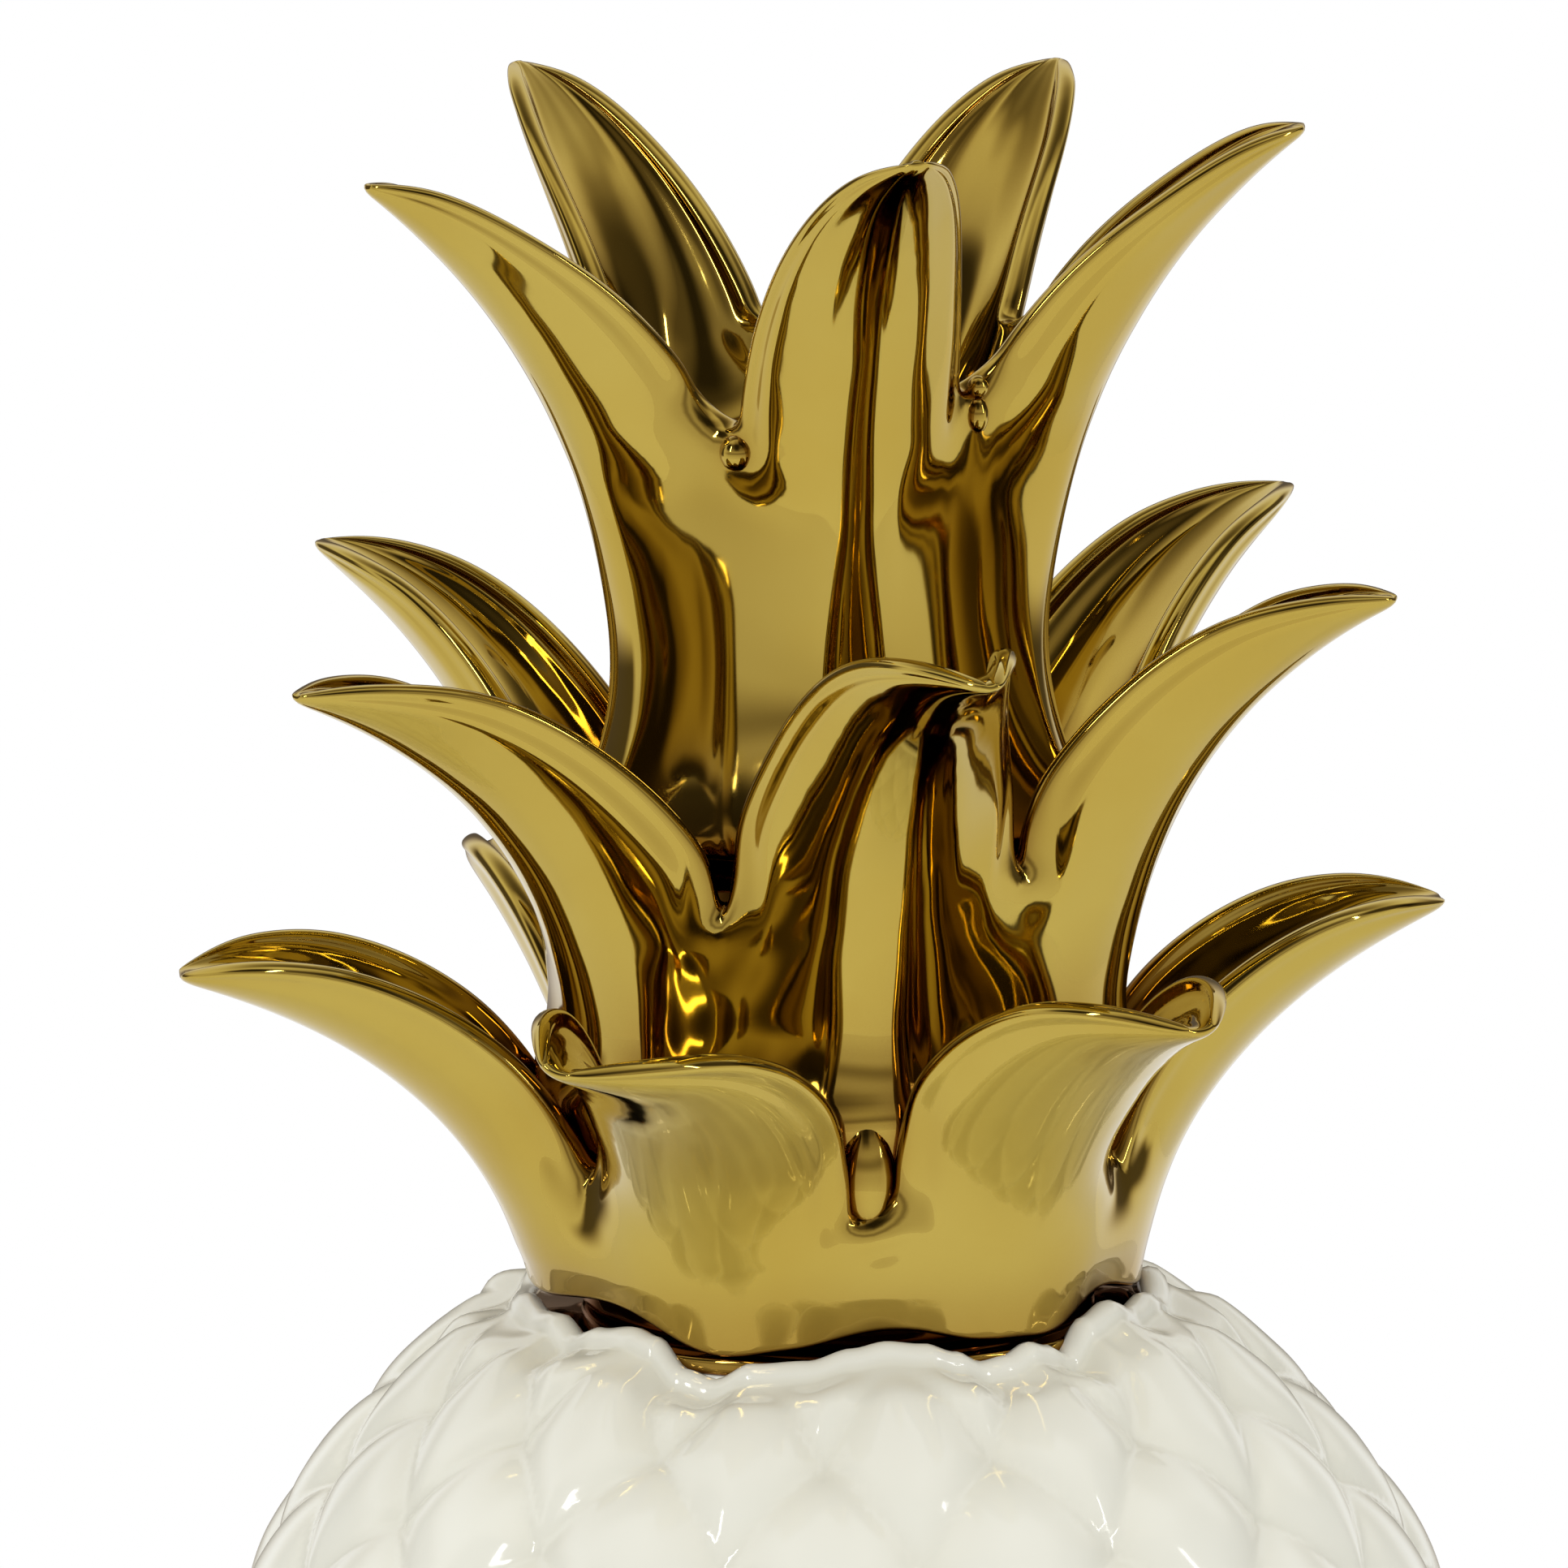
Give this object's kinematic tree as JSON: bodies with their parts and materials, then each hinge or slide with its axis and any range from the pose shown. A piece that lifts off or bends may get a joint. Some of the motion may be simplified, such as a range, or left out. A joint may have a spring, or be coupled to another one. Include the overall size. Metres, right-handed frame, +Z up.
{
  "type": "pineapple figurine jar",
  "caption": "Glazed ceramic pineapple: a round white jar with scale relief and a lift-off gold crown lid of stacked, outward-curling leaves.",
  "frame": {"origin": "centre of the foot ring, on the plane that the jar stands on", "axes": "+Z up along the fruit's axis, -Y towards the viewer of the picture, +X to the viewer's right"},
  "size_m": [0.1578, 0.1578, 0.3029],
  "materials": {
    "white_glaze": "glossy, slightly warm white glaze",
    "gold_lustre": "mirror-bright fired gold lustre over glaze"
  },
  "bodies": {
    "jar": {"jar_body": "white_glaze"},
    "crown_lid": {"lid_flange": "gold_lustre", "crown_core": "gold_lustre", "lower_leaf_1": "gold_lustre", "lower_leaf_2": "gold_lustre", "lower_leaf_3": "gold_lustre", "lower_leaf_4": "gold_lustre", "lower_leaf_5": "gold_lustre", "lower_leaf_6": "gold_lustre", "middle_leaf_1": "gold_lustre", "middle_leaf_2": "gold_lustre", "middle_leaf_3": "gold_lustre", "middle_leaf_4": "gold_lustre", "middle_leaf_5": "gold_lustre", "middle_leaf_6": "gold_lustre", "upper_leaf_1": "gold_lustre", "upper_leaf_2": "gold_lustre", "upper_leaf_3": "gold_lustre", "upper_leaf_4": "gold_lustre", "upper_leaf_5": "gold_lustre"}
  },
  "joints": [
    {"name": "lid_lift", "type": "slide", "parent": "jar", "child": "crown_lid", "axis": [0, 0, 1], "range_m": [0, 0.06]}
  ]
}
